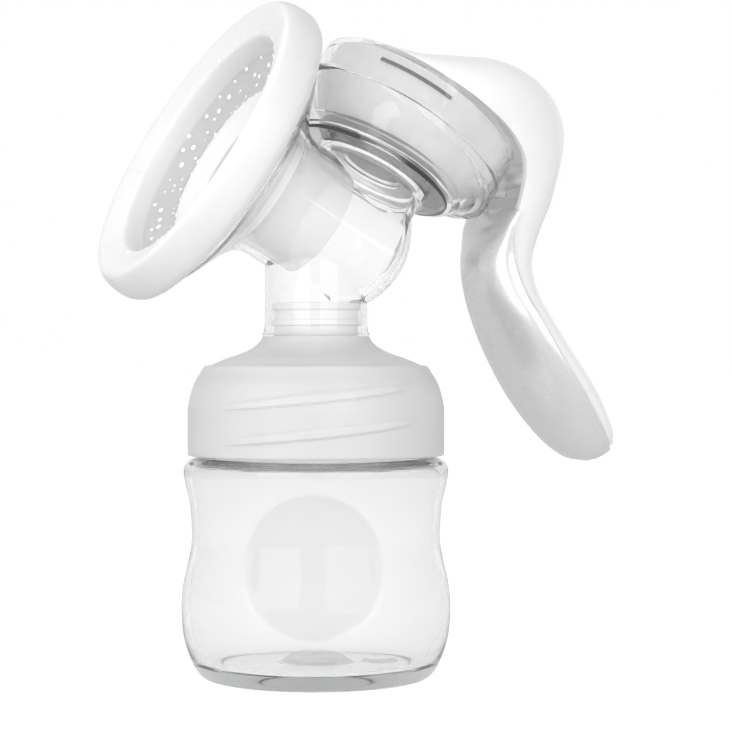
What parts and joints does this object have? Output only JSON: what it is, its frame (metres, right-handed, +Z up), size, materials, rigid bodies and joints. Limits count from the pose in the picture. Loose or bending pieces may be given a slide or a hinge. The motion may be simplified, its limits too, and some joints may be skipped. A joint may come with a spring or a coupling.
{
  "type": "manual breast pump",
  "caption": "Hand-squeezed milk pump: clear waisted bottle, frosted screw skirt, soft-lined funnel, clear suction cup with diaphragm, and a white curved lever handle.",
  "frame": {"origin": "centre of the bottle's flat base", "axes": "+Z up the bottle's axis; +X towards the handle, the funnel opens to -X; the pump is symmetric about Y = 0"},
  "size_m": [0.1374, 0.0822, 0.1675],
  "materials": {
    "clear_plastic": "clear gloss moulding",
    "frosted_plastic": "fine frosted moulding",
    "cushion_silicone": "satin soft silicone",
    "clear_silicone": "milky translucent silicone",
    "seal_silicone": "matte silicone",
    "white_silicone": "satin white silicone",
    "white_plastic": "high gloss white",
    "pale_plastic": "gloss pale grey white"
  },
  "bodies": {
    "bottle": {"bottle": "clear_plastic"},
    "seal": {"lip_seal": "seal_silicone"},
    "pump": {"thread_skirt": "frosted_plastic", "funnel_body": "clear_plastic", "funnel_cushion": "cushion_silicone", "duckbill_valve": "white_silicone", "suction_cup": "clear_plastic", "diaphragm": "clear_silicone"},
    "stem": {"stem": "white_plastic"},
    "handle": {"handle_shell": "white_plastic", "handle_cover": "pale_plastic", "pivot_pin": "white_plastic"}
  },
  "joints": [
    {"name": "pump_lift", "type": "slide", "parent": "bottle", "child": "seal", "axis": [0, 0, 1], "range_m": [0, 0.0046]},
    {"name": "pump_turn", "type": "hinge", "parent": "seal", "child": "pump", "pos_m": [0, 0, 0.06], "axis": [0, 0, 1], "range_deg": [0, 360]},
    {"name": "stem_lift", "type": "slide", "parent": "pump", "child": "stem", "axis": [0.5736, 0, 0.8192], "range_m": [-0.0001, 0.0066], "deforming": ["diaphragm"]},
    {"name": "handle_squeeze", "type": "hinge", "parent": "pump", "child": "handle", "pos_m": [0.05372, 0, 0.1257], "axis": [0, 1, 0], "range_deg": [0, 12], "stiffness_Nm_per_rad": 0.2, "springref_deg": -5.73}
  ],
  "couplings": [
    {"joint": "pump_lift", "follows": "pump_turn", "m_per_rad": 0.0007162},
    {"joint": "stem_lift", "follows": "handle_squeeze", "m_per_rad": 0.03}
  ]
}
